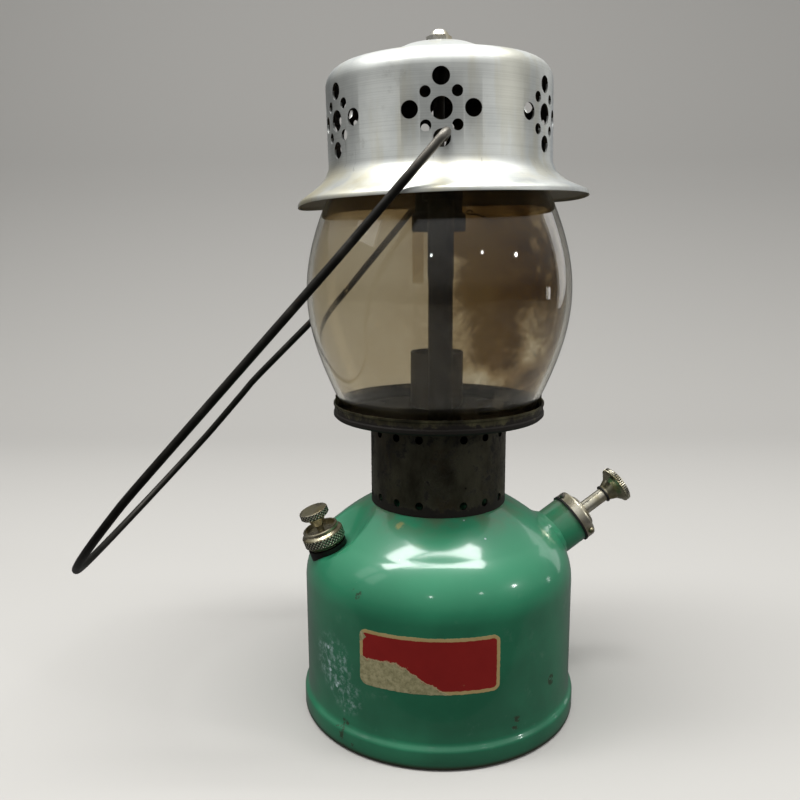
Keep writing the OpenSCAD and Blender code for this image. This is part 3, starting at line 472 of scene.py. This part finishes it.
# two more screws hold the cap, with round slotted heads that stand on its wall
cap_wall_r, screw_z = 12.6 * MM, 2.4 * MM
slit_size = (4 * MM, 0.4 * MM, 0.8 * MM, 1)
head = [(0.01, -1.0), (0.8, -1.0), (0.8, 0), (1.5, 0), (1.45, 0.45), (1.15, 0.95), (0.65, 1.25), (0.01, 1.35)]
for name, turn in (("cap_screw_front", -65), ("cap_screw_back", 115)):
    screw = lathe(name, [(r * MM, z * MM) for r, z in head], steps=32)
    slit = bmesh.new()
    bmesh.ops.create_cube(slit, matrix=Matrix.Translation((0, 0, 1.4 * MM)) @ Matrix.Diagonal(slit_size))
    punch(screw, slit)
    place = PUMP @ Matrix.Rotation(math.radians(turn), 4, "Z") @ Matrix.Translation((cap_wall_r, 0, screw_z))
    screw.data.transform(place @ Matrix.Rotation(math.pi / 2, 4, "Y"))
    screw.data.materials.append(NICKEL)
    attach(screw, "lantern")


# ---------------------------------------------------------------------------------------------
# Valve: a brass bung in the top of the fount carries the pick-up tube and the valve body. The steel
# stem and the cleaning lever come out at the back of the collar. The control knob is black plastic.
# ---------------------------------------------------------------------------------------------
def steel():
    f = Finish("dull_steel")
    tone = f.blotch(0.006, seed=3, detail=6)
    base = tone.mix(colour("4a4640"), colour("8a8780"))
    rusty = f.blotch(0.004, seed=7, detail=6).rise(0.62, 0.72) * 0.3
    return f.done(f.surface(rusty.mix(base, colour("4e3320")), 0.34 + 0.3 * tone + 0.2 * rusty, metal=1.0,
                            bump=f.blotch(0.0009, seed=8), depth=0.00004))


def black_plastic():
    f = Finish("black_plastic")
    worn = f.blotch(0.005, seed=1, detail=6).rise(0.5, 0.75)
    return f.done(f.surface(worn.mix(colour("161514"), colour("2b2926")), 0.38 + 0.25 * worn,
                            bump=f.blotch(0.0009, seed=6), depth=0.00006))


STEEL = steel()
dress(BRASS, "valve_bung", "fuel_tube", "valve_body", "packing_nut")
dress(STEEL, "valve_stem", "cleaning_lever", "cleaning_needle", "pump_cap_screws")
dress(black_plastic(), "control_knob")
dress(NICKEL, "knob_screw")


# ---------------------------------------------------------------------------------------------
# Collar and globe rest: plated steel, stamped and spun. The plating is mottled grey and brown by
# heat and handling, nearly black in patches and along the collar's foot.
# ---------------------------------------------------------------------------------------------
def sooty_steel(name, bright="5d5a4a", mid="332f25", foot=0.100, rim=None):
    """Plated steel under soot, darker above its foot's height, and rubbed bright along a rim if it has one."""
    f = Finish(name)
    soot = colour("110e0a")
    tone = f.blotch(0.012, seed=3, detail=7, rough=0.6, at=f.moved((1, 1, 0.55)))
    base = tone.rise(0.32, 0.68).mix(colour(mid), colour(bright))
    warm = f.blotch(0.016, seed=15, detail=6).rise(0.5, 0.7) * 0.5
    base = warm.mix(base, colour("4a3a28"))
    stain = f.blotch(0.012, seed=11, detail=9, rough=0.72, twist=0.8)
    fine = f.blotch(0.0030, seed=5, detail=7, rough=0.7)
    runs = f.blotch(0.0035, seed=16, detail=5, at=f.moved((1, 1, 0.14)))
    edge = f.z.rise(foot + 0.007, foot) * 0.20
    dark = (stain * 0.55 + fine * 0.30 + runs * 0.15 + edge).rise(0.50, 0.59)
    base = dark.mix(base, f.blotch(0.004, seed=6).mix(soot, colour("241c13")))
    spots = f.specks(0.0035, 0.0007, seed=9, share=0.35)
    base = spots.mix(base, soot)
    if rim:
        worn = f.z.rise(rim - 0.0008, rim - 0.0002) * fine.rise(0.35, 0.55)
        base = worn.mix(base, colour("a39e8b"))
    rough = 0.40 + 0.28 * dark + 0.1 * tone
    return f.done(f.surface(base, rough, metal=0.9 - 0.75 * dark, bump=fine * 0.5 + dark * 0.4, depth=0.00009))


dress(sooty_steel("sooty_collar"), "collar")
dress(sooty_steel("sooty_rest", bright="7a7659", mid="37332a", foot=0.141, rim=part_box("globe_rest")[1].z),
      "globe_rest")


# ---------------------------------------------------------------------------------------------
# Burner: air tube, heat shield, casting and cap, all burnt black-brown and dry. Brass nuts and the
# generator stand behind. A wisp of the old mantle's thread still hangs from the cap's groove.
# ---------------------------------------------------------------------------------------------
def burnt(name, warm="110c08", cold="070605", grey="211d18"):
    f = Finish(name)
    tone = f.blotch(0.009, seed=2, detail=7)
    base = tone.mix(colour(cold), colour(warm))
    ash = f.blotch(0.005, seed=8, detail=8, rough=0.7).rise(0.52, 0.68)
    base = (ash * 0.6).mix(base, colour(grey))
    return f.done(f.surface(base, 0.55 + 0.25 * ash, metal=0.2, bump=f.blotch(0.0014, seed=4, detail=6),
                            depth=0.00012))


BURNT = burnt("burnt_steel")
dress(BURNT, "air_tube", "burner_casting", "burner_cap", "burner_screen")
dress(burnt("scaled_shield", warm="4a4030", cold="2a251c", grey="6a6350"), "heat_shield")
dress(BRASS, "jam_nut", "generator", "generator_tip")
dress(STEEL, "vent_stud")


def drawn(name, points, thickness):
    """A round wire of this thickness along the points."""
    wire = bpy.data.curves.new(name, "CURVE")
    wire.dimensions, wire.bevel_depth, wire.bevel_resolution, wire.use_fill_caps = "3D", thickness / 2, 6, True
    line = wire.splines.new("POLY")
    line.points.add(len(points) - 1)
    for knot, point in zip(line.points, points):
        knot.co = (*point, 1)
    line.use_smooth = True
    piece = bpy.data.objects.new(name, wire)
    bpy.context.scene.collection.objects.link(piece)
    return piece


def charred_thread():
    f = Finish("charred_thread")
    twist = f.node("TexWave", {"Vector": f.moved(turn=(0.3, 0.5, 0.8)), "Scale": 900.0, "Distortion": 2.0})
    return f.done(f.surface(twist.mix(colour("15110d"), colour("4b4337")), 0.85, bump=twist, depth=0.0001))


THREAD = charred_thread()
thread_d = 0.7 * MM
WISPS = (((12.0, -5.5, 232.6), (13.6, -6.6, 231.6), (15.8, -7.2, 231.9), (18.6, -7.0, 230.9), (20.6, -6.4, 230.2)),
         ((12.0, -5.2, 232.9), (13.2, -6.6, 233.6), (14.4, -7.6, 233.0), (14.0, -8.0, 231.8)))
for k, ends in enumerate(WISPS):
    wisp = drawn("mantle_thread_%d" % k, [Vector(p) * MM for p in ends], thread_d)
    wisp.data.materials.append(THREAD)
    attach(wisp, "lantern")


# ---------------------------------------------------------------------------------------------
# Globe: blown glass, a barrel between two ground ends. Its outside is clean, and inside lies a
# brown film of soot, thick at the right and under the brim, with a pale haze elsewhere.
# ---------------------------------------------------------------------------------------------
globe_low, globe_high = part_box("globe")
globe_len = globe_high.z - globe_low.z
globe_end_r, globe_wall, globe_neck = 45.3 * MM, 2.2 * MM, 5 * MM
globe_bulge = globe_high.x - globe_end_r
globe_half = globe_len / 2 - globe_neck


def clear_glass():
    """The outside of the globe: clean but for dust, a few greasy smears and a painted reflection streak."""
    f = Finish("clear_glass")
    smear = f.blotch(0.012, seed=4, detail=7, rough=0.65, twist=0.8).rise(0.56, 0.75)
    dust = f.blotch(0.0012, seed=8, detail=4).rise(0.55, 0.7)
    # one long painted reflection streak and a smudge at the right, and hair-fine marks in patches all over
    mark = (0.0325, -0.0461, 0.180)
    painted_reflection_streak = f.off_axis(mark, (0.68, 0.6, -0.78)).rise(0.0011, 0.0002)
    painted_reflection_streak = painted_reflection_streak * f.around(mark, 0.010, 0.004) * f.blotch(0.003, seed=9).rise(0.35, 0.6)
    smudge = f.around((0.024, -0.0425, 0.1555), 0.0035, 0.002)
    smudge = smudge * f.blotch(0.004, seed=6, detail=6).rise(0.35, 0.55)
    hairs = f.blotch(0.0012, seed=5, detail=2, at=f.moved((1, 1, 0.06), turn=(0.9, 0.4, 0.3))).rise(0.70, 0.76)
    hairs = hairs * f.blotch(0.03, seed=3).rise(0.45, 0.6)
    glass = f.surface(colour("f1efe6"), 0.02, Transmission_Weight=1.0, IOR=1.47, Specular_IOR_Level=0.28)
    grease = f.surface(colour("b9ad94"), 0.5)
    cover = smear * 0.025 + dust * 0.01 + painted_reflection_streak * 0.4 + hairs * 0.10 + smudge * 0.3
    return f.done(f.node("MixShader", {0: cover, 1: glass, 2: grease}))


def soot_film():
    """The inside of the globe: brown soot in smoky swirls, thick at the right and under the brim."""
    f = Finish("soot_film")
    swirl = f.blotch(0.040, seed=3, detail=9, rough=0.62, twist=1.4)
    wisps = f.blotch(0.012, seed=9, detail=8, rough=0.68, twist=1.0)
    fine = f.blotch(0.0016, seed=7, detail=5, rough=0.7)
    right = (f.x * 0.95 - f.y * 0.35).rise(-0.010, 0.045)
    high = f.z.rise(0.222, 0.246) * 0.40
    heart = (f.around((0.023, -0.054, 0.201), 0.006, 0.020) + f.around((0.022, -0.052, 0.179), 0.005, 0.012)
             + f.around((0.026, -0.046, 0.229), 0.012, 0.018) * 1.3)
    wiped = (f.around((0.036, -0.044, 0.183), 0.005, 0.013) * 1.4 + f.around((0.044, -0.030, 0.150), 0.004, 0.018)
             + f.around((0.014, -0.045, 0.163), 0.003, 0.012))
    cloudy = swirl.rise(0.40, 0.62) * 0.55 + wisps.rise(0.38, 0.66) * 0.45
    thick = right * (0.02 + 0.50 * cloudy) + heart * (0.10 + 0.36 * cloudy) + high * (0.4 + cloudy)
    # a run of soot left of the air tube, and a dark drop right of it
    front = f.y.rise(-0.030, -0.040)
    run = f.x.between(-0.0122, -0.0088, 0.0008) * f.z.between(0.205, 0.226, 0.002)
    drop = f.around((0.0068, -0.053, 0.219), 0.004, 0.004)
    thick = thick + front * (run * 0.16 + drop * 0.35)
    haze = 0.13 + 0.16 * f.blotch(0.055, seed=6, detail=5)
    film = (thick + haze + fine * 0.03 - wiped * 0.24).maths("MAXIMUM", 0.04).maths("MINIMUM", 0.88)
    flakes = f.specks(0.009, 0.0007, seed=12, share=0.12)
    film = (film + flakes).maths("MINIMUM", 0.95)
    tint = film.rise(0.05, 0.45).mix(colour("ece4cc"), colour("ad9060"))
    tint = film.rise(0.32, 0.72).mix(tint, colour("54360f"))
    glass = f.surface(tint, 0.04, Transmission_Weight=1.0, IOR=1.47, Specular_IOR_Level=0.2)
    shade = film.rise(0.20, 0.70).mix(colour("564d3a"), colour("2e200a"))
    soot = f.surface(flakes.mix(shade, colour("0f0c08")), 0.8)
    return f.done(f.node("MixShader", {0: film * 0.42, 1: glass, 2: soot}))


belly = []
for i in range(33):
    u = -1 + i / 16
    belly.append(Vector((globe_end_r + globe_bulge * max(math.cos(math.pi / 2 * u), 0) ** 0.96,
                         globe_low.z + globe_len / 2 + globe_half * u)))
outer = [Vector((globe_end_r, globe_low.z))] + belly + [Vector((globe_end_r, globe_high.z))]
globe = lathe("glass_globe_blown", outer + beside(outer, globe_wall)[::-1])
globe.data.materials.append(clear_glass())
globe.data.materials.append(soot_film())
for face in globe.data.polygons:
    outward = Vector((face.center.x, face.center.y, 0)).dot(face.normal)
    face.material_index = 1 if outward < 0 else 0
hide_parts("globe")
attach(globe, "glass_globe")


# ---------------------------------------------------------------------------------------------
# Ventilator: one sheet of aluminium spun into crown, wall and brim, pierced with six patterns of
# nine holes. It sits a little crooked, and the brim is knocked down at the left.
# ---------------------------------------------------------------------------------------------
vent_low, vent_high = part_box("ventilator")
brim_r, brim_z, vent_top = vent_high.x, vent_low.z, vent_high.z
vent_r, vent_wall, crown_z, crown_round = 49.35 * MM, 0.8 * MM, 286 * MM, 8.6 * MM
pattern_z = 270 * MM
big_hole, mid_hole, small_hole = 4.35 * MM, 3.45 * MM, 2.2 * MM
mid_reach, small_reach = 11.7 * MM, 6.2 * MM


def spun_aluminium():
    """The outside of the ventilator: fine turning lines, a heat tint, upright streaks that are painted reflections,
    drips and smudges.
    """
    f = Finish("spun_aluminium")
    radius = (f.x * f.x + f.y * f.y) ** 0.5
    along = f.z - radius
    ring = f.node("CombineXYZ", {"X": f.x * 8, "Y": f.y * 8, "Z": along * 2600})
    lines = f.node("TexNoise", {"Vector": ring, "Scale": 1.0, "Detail": 3})
    wide_ring = f.node("CombineXYZ", {"X": f.x * 20, "Y": f.y * 20, "Z": along * 300})
    broad = f.node("TexNoise", {"Vector": wide_ring, "Scale": 1.0, "Detail": 4})
    tone = f.blotch(0.022, seed=5, detail=5)
    base = tone.rise(0.3, 0.7).mix(colour("c3c6c3"), colour("d9dbd7"))
    base = (lines.rise(0.45, 0.7) * 0.18).mix(base, colour("8f918e"))
    # a straw heat tint in a band round the brim's foot, and on the wall upright streaks of blue-grey and straw that
    # are painted reflections
    brim = f.z.rise(0.256, 0.246)
    heat = brim * f.blotch(0.03, seed=2, detail=5).rise(0.42, 0.7) * 0.55
    base = heat.mix(base, colour("cbbf93"))
    painted_reflection_bands = f.blotch(0.014, seed=13, detail=5, at=f.moved((1, 1, 0.12)))
    base = (painted_reflection_bands.rise(0.52, 0.68) * 0.35).mix(base, colour("9aa1ab"))
    base = (painted_reflection_bands.rise(0.46, 0.34) * 0.30).mix(base, colour("bdb595"))
    # drips of dirty water, smudges and small dings
    drips = f.blotch(0.0022, seed=14, detail=3, at=f.moved((1, 1, 0.05))).rise(0.68, 0.75) * 0.35
    base = drips.mix(base, colour("7d7d78"))
    smudge = f.blotch(0.013, seed=9, detail=8, rough=0.65).rise(0.60, 0.74) * 0.35
    base = smudge.mix(base, colour("6d6b62"))
    dings = f.specks(0.011, 0.0006, seed=4, share=0.25)
    base = dings.mix(base, colour("3f3b34"))
    rough = 0.40 + 0.08 * lines + 0.10 * tone + smudge * 0.2 + drips * 0.2
    height = lines * 0.4 + broad * 0.5 + f.blotch(0.02, seed=19, detail=2) * 1.5 - dings
    return f.done(f.surface(base, rough, metal=1.0, bump=height, depth=0.00005))


def sooted_aluminium():
    """The inside of the ventilator, brown and black with soot."""
    f = Finish("sooted_aluminium")
    cloud = f.blotch(0.018, seed=6, detail=7).rise(0.3, 0.7)
    base = cloud.mix(colour("17120d"), colour("3b3124"))
    base = f.z.rise(0.254, 0.247).mix(base, colour("b7b1a0"))
    return f.done(f.surface(base, 0.62, metal=0.4, bump=cloud, depth=0.0001))


lip = brim_z + 1.2 * MM
flare = brim_r - vent_r
sheet = [Vector(p) for p in (
    (brim_r, brim_z), (brim_r, lip), (brim_r - 0.7 * MM, lip + 0.9 * MM), (vent_r + 0.72 * flare, lip + 2.6 * MM),
    (vent_r + 0.46 * flare, lip + 4.6 * MM), (vent_r + 0.24 * flare, lip + 7 * MM),
    (vent_r + 0.09 * flare, lip + 9.6 * MM), (vent_r, lip + 13.2 * MM))]
sheet += arc((vent_r - crown_round, crown_z), crown_round, 0, 78, 8)
sheet += [Vector((r * MM, vent_top - d * MM)) for r, d in (
    (34, 8.1), (30, 7.2), (25, 5.2), (20, 2.9), (15.5, 1), (11, 0.1), (8, 0), (3, 0))]
ventilator = lathe("spun_ventilator", sheet + beside(sheet, vent_wall)[::-1], steps=288)


# the bail hooks into the lowest hole of the front and the rear pattern, and has worn the rear one
wider_across, bail_hole_raise, rear_hole_wear = 0.8 * MM, 0.8 * MM, 0.6 * MM
front_pattern, rear_pattern = 0, 3
holes = [(0, 0, big_hole)]
for side in (-1, 1):
    holes += [(0, side * mid_reach, mid_hole), (side * (mid_reach + wider_across), 0, mid_hole)]
    holes += [(side * small_reach, other * small_reach, small_hole) for other in (-1, 1)]
pins = bmesh.new()
for k in range(6):
    for across, up, radius in holes:
        if up == -mid_reach and k in (front_pattern, rear_pattern):
            up += bail_hole_raise
            radius += rear_hole_wear if k == rear_pattern else 0
        a = math.radians(-90 + 60 * k) + across / vent_r
        place = Matrix.Rotation(a, 4, "Z") @ Matrix.Translation((vent_r, 0, pattern_z + up))
        bmesh.ops.create_cone(pins, cap_ends=True, segments=28, radius1=radius, radius2=radius, depth=8 * MM,
                              matrix=place @ Matrix.Rotation(math.pi / 2, 4, "Y"))
punch(ventilator, pins)


SPIN = Matrix.Translation((-0.5 * MM, 0, 0)) @ Matrix.Rotation(math.radians(-1.8), 4, "Z")
TILT = Matrix.Rotation(math.radians(-1.15), 4, "Y")
knock_turn = math.radians(185)
knock_drop, knock_pull, ripple = 2.4, 1.4, 0.7  # in millimetres


def knocked(co):
    """Where a point of the perfect ventilator lies on the worn one."""
    co = SPIN @ co
    a, r = math.atan2(co.y, co.x), math.hypot(co.x, co.y)
    out = max(0.0, (r - vent_r) / (brim_r - vent_r))
    left = max(0.0, math.cos(a - knock_turn)) ** 6
    wave = math.sin(3 * a + 0.6) * 0.5 + math.sin(5 * a) * 0.3
    drop = (left * knock_drop + wave * ripple) * out ** 2 * MM
    pull = left * knock_pull * out ** 2 * MM
    if out > 0:
        co.x -= pull * math.cos(a)
        co.y -= pull * math.sin(a)
        co.z -= drop
    seat = Vector((0, 0, vent_top))
    return seat + TILT @ (co - seat)


for vertex in ventilator.data.vertices:
    vertex.co = knocked(vertex.co.copy())
ventilator.data.materials.append(spun_aluminium())
ventilator.data.materials.append(sooted_aluminium())
for face in ventilator.data.polygons:
    outward = Vector((face.center.x, face.center.y, 12 * MM)).dot(face.normal)
    face.material_index = 1 if outward < -5 * MM else 0
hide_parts("ventilator")
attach(ventilator, "chimney")
dress(nickel("pale_nickel", tint="dcdad0", dark="b4b0a2"), "vent_nut")


# ---------------------------------------------------------------------------------------------
# Bail: one spring-steel wire, hooked into the lowest holes at the front and the back, dark and
# rubbed bright at its hooks. Use has bent its rear leg down and out.
# ---------------------------------------------------------------------------------------------
def dark_wire():
    f = Finish("dark_wire")
    tone = f.blotch(0.006, seed=1, detail=7)
    base = tone.mix(colour("1d1c1b"), colour("35332f"))
    rubbed = f.blotch(0.010, seed=5, detail=6).rise(0.5, 0.7) * 0.35
    base = rubbed.mix(base, colour("57534d"))
    base = (f.z.rise(0.241, 0.256) * 0.75).mix(base, colour("827e76"))
    rusty = f.blotch(0.005, seed=6, detail=7).rise(0.6, 0.7) * 0.5
    base = rusty.mix(base, colour("3b2a1e"))
    return f.done(f.surface(base, 0.36 + 0.22 * tone, metal=0.9, bump=f.blotch(0.0012, seed=2), depth=0.00006))


hinge_z, wire_d = 259.9 * MM, 3.5 * MM
half, hook_turn, hook_y, reach = 64 * MM, 4.5 * MM, 43.85 * MM, 252 * MM
spread_degrees = 1.5
spread = math.radians(spread_degrees)
slope = math.tan(spread)
start = hook_turn * (1 - math.sin(spread))
end_r = (half + (reach - start) * slope) / (math.cos(spread) + slope * (1 + math.sin(spread)))
LEAN = Matrix.Translation((0, 0, hinge_z)) @ Matrix.Rotation(math.radians(131.6), 4, "Y")
side_leg = [Vector((0, hook_y + (half - hook_turn - hook_y) * i / 6)) for i in range(6)]
side_leg += arc((hook_turn, half - hook_turn), hook_turn, 180, 90, 8)
loop = arc((reach - end_r, 0), end_r, 90 + spread_degrees, 0, 24)
side_leg += [side_leg[-1].lerp(loop[0], i / 24) for i in range(1, 24)] + loop


def used(x, y, back):
    """A point of the true bail, given in its own plane, where it lies on the bent one."""
    def hump(rise_start, rise_end, fall_start, fall_end):
        """1 in the middle of a stretch of the leg and 0 outside it, given in millimetres from the hinge."""
        up, down = (max(0.0, min(1.0, (x - a * MM) / ((b - a) * MM)))
                    for a, b in ((rise_start, rise_end), (fall_start, fall_end)))
        return up * (1 - down)

    if back:
        sag = hump(2, 16, 80, 150) * 6.5 + hump(80, 160, 190, 252) * 1.8
        return LEAN @ Vector((x, y + hump(2, 12, 40, 110) * 2.4 * MM, sag * MM))
    return LEAN @ Vector((x, -y, hump(60, 180, 190, 252) * -1.6 * MM))


path = [used(p.x, p.y, False) for p in side_leg] + [used(p.x, p.y, True) for p in side_leg[-2::-1]]
bail = drawn("bent_bail", path, wire_d)
bail.data.materials.append(dark_wire())
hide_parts("bail")
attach(bail, "handle")


# ---------------------------------------------------------------------------------------------
# Stage: a pale sweep of paper, a long soft lamp overhead, weaker ones at the sides, small ones for
# the glints on the glass, a pale ceiling over darker walls, and the camera.
# ---------------------------------------------------------------------------------------------
def pale_paper(seen, lit):
    """Matt paper that looks pale to the camera and through glass, and throws little light back."""
    f = Finish("pale_paper")
    straight, through = (f.node("LightPath", {}, take=ray) for ray in ("Is Camera Ray", "Is Transmission Ray"))
    return f.done(f.surface((straight + through).maths("MINIMUM", 1).mix(lit, seen), 0.9))


def dark_card():
    f = Finish("dark_card")
    return f.done(f.surface(colour("2a2a2b"), 0.95))


def sweep():
    """A floor that curves up into a backdrop."""
    mesh = bmesh.new()
    front, bend, bend_r, back, top, half_width = -1.6, 0.55, 0.35, 0.9, 0.66, 2.2
    angles = [math.pi / 24 * k for k in range(1, 13)]
    curve = [(bend + bend_r * math.sin(a), bend_r - bend_r * math.cos(a)) for a in angles]
    profile = [(front, 0.0), (bend, 0.0)] + curve + [(back, top)]
    rows = [[mesh.verts.new((x, y, z)) for y, z in profile] for x in (-half_width, half_width)]
    for i in range(len(profile) - 1):
        mesh.faces.new((rows[0][i], rows[1][i], rows[1][i + 1], rows[0][i + 1]))
    return built("sweep", mesh)


ground = sweep()
ground.data.materials.append(pale_paper(colour("bab8b4"), colour("555453")))


def lamp(name, place, target, width, height, power):
    """A white area lamp at a place, turned to its target."""
    data = bpy.data.lights.new(name, "AREA")
    data.shape, data.size, data.size_y, data.energy = "RECTANGLE", width, height, power
    light = bpy.data.objects.new(name, data)
    light.location = place
    light.rotation_euler = (Vector(target) - Vector(place)).to_track_quat("-Z", "Y").to_euler()
    light.visible_camera = False
    bpy.context.scene.collection.objects.link(light)


aim = (0, 0, 0.12)
lamp("overhead", (-0.08, -0.11, 1.02), (-0.08, 0, 0.12), 1.10, 0.18, 11.5)
lamp("left_window", (-1.05, -0.30, 0.95), aim, 0.5, 0.5, 0.9)
lamp("right_wall", (1.02, 0.78, 0.36), aim, 0.5, 0.7, 1.2)
lamp("glint", (1.12, 0.20, 0.16), (0, 0, 0.18), 0.05, 0.10, 0.08)
spot_size = 0.035
for x, y, z, power in ((-0.20, -1.30, 0.76, 0.25), (0.75, -1.07, 0.76, 0.2), (1.15, -0.50, 0.62, 1.1)):
    lamp("spot", (x, y, z), (0, 0, 0.2), spot_size, spot_size, power)

# a dark card just over the floor before the lantern keeps the floor's glare off its front, and shows
# in reflections only
card_z = 0.004
edges = bmesh.new()
edges.faces.new([edges.verts.new((x, y, card_z)) for x, y in (
    (-0.9, -2.4), (0.9, -2.4), (0.40, -0.092), (-0.40, -0.092))])
card = built("dark_card", edges)
card.data.materials.append(dark_card())
card.visible_camera = card.visible_diffuse = card.visible_shadow = card.visible_transmission = False

# a pale ceiling over darker walls
world = bpy.data.worlds.new("studio")
bpy.context.scene.world = world
world.use_nodes = True
sky = world.node_tree.nodes
direction = sky.new("ShaderNodeTexCoord")
parts = sky.new("ShaderNodeSeparateXYZ")
levels = sky.new("ShaderNodeValToRGB")
world.node_tree.links.new(direction.outputs["Generated"], parts.inputs[0])
world.node_tree.links.new(parts.outputs["Z"], levels.inputs[0])
world.node_tree.links.new(levels.outputs[0], sky["Background"].inputs["Color"])
warmth = 0.985
stops = levels.color_ramp.elements
for at, level in ((0.02, 0.10), (0.15, 0.24), (0.36, 0.34), (0.64, 0.56)):
    stop = stops[0] if at == 0.02 else stops.new(at)
    stop.position, stop.color = at, (level, level, level * warmth, 1)
stops[-1].position, stops[-1].color = 1.0, (1.0, 1.0, warmth, 1)
sky["Background"].inputs["Strength"].default_value = 1.0

camera_data = bpy.data.cameras.new("camera")
camera_data.sensor_width, camera_data.lens = 36, 36.765
camera = bpy.data.objects.new("camera", camera_data)
pitch, roll = math.radians(10.47), math.radians(-0.36)
camera.matrix_world = (Matrix.Translation((-0.0179, -0.3757, 0.2171)) @ Matrix.Rotation(math.pi / 2 - pitch, 4, "X")
                       @ Matrix.Rotation(roll, 4, "Z"))
bpy.context.scene.collection.objects.link(camera)
bpy.context.scene.camera = camera
bpy.context.scene.view_settings.view_transform = "Standard"
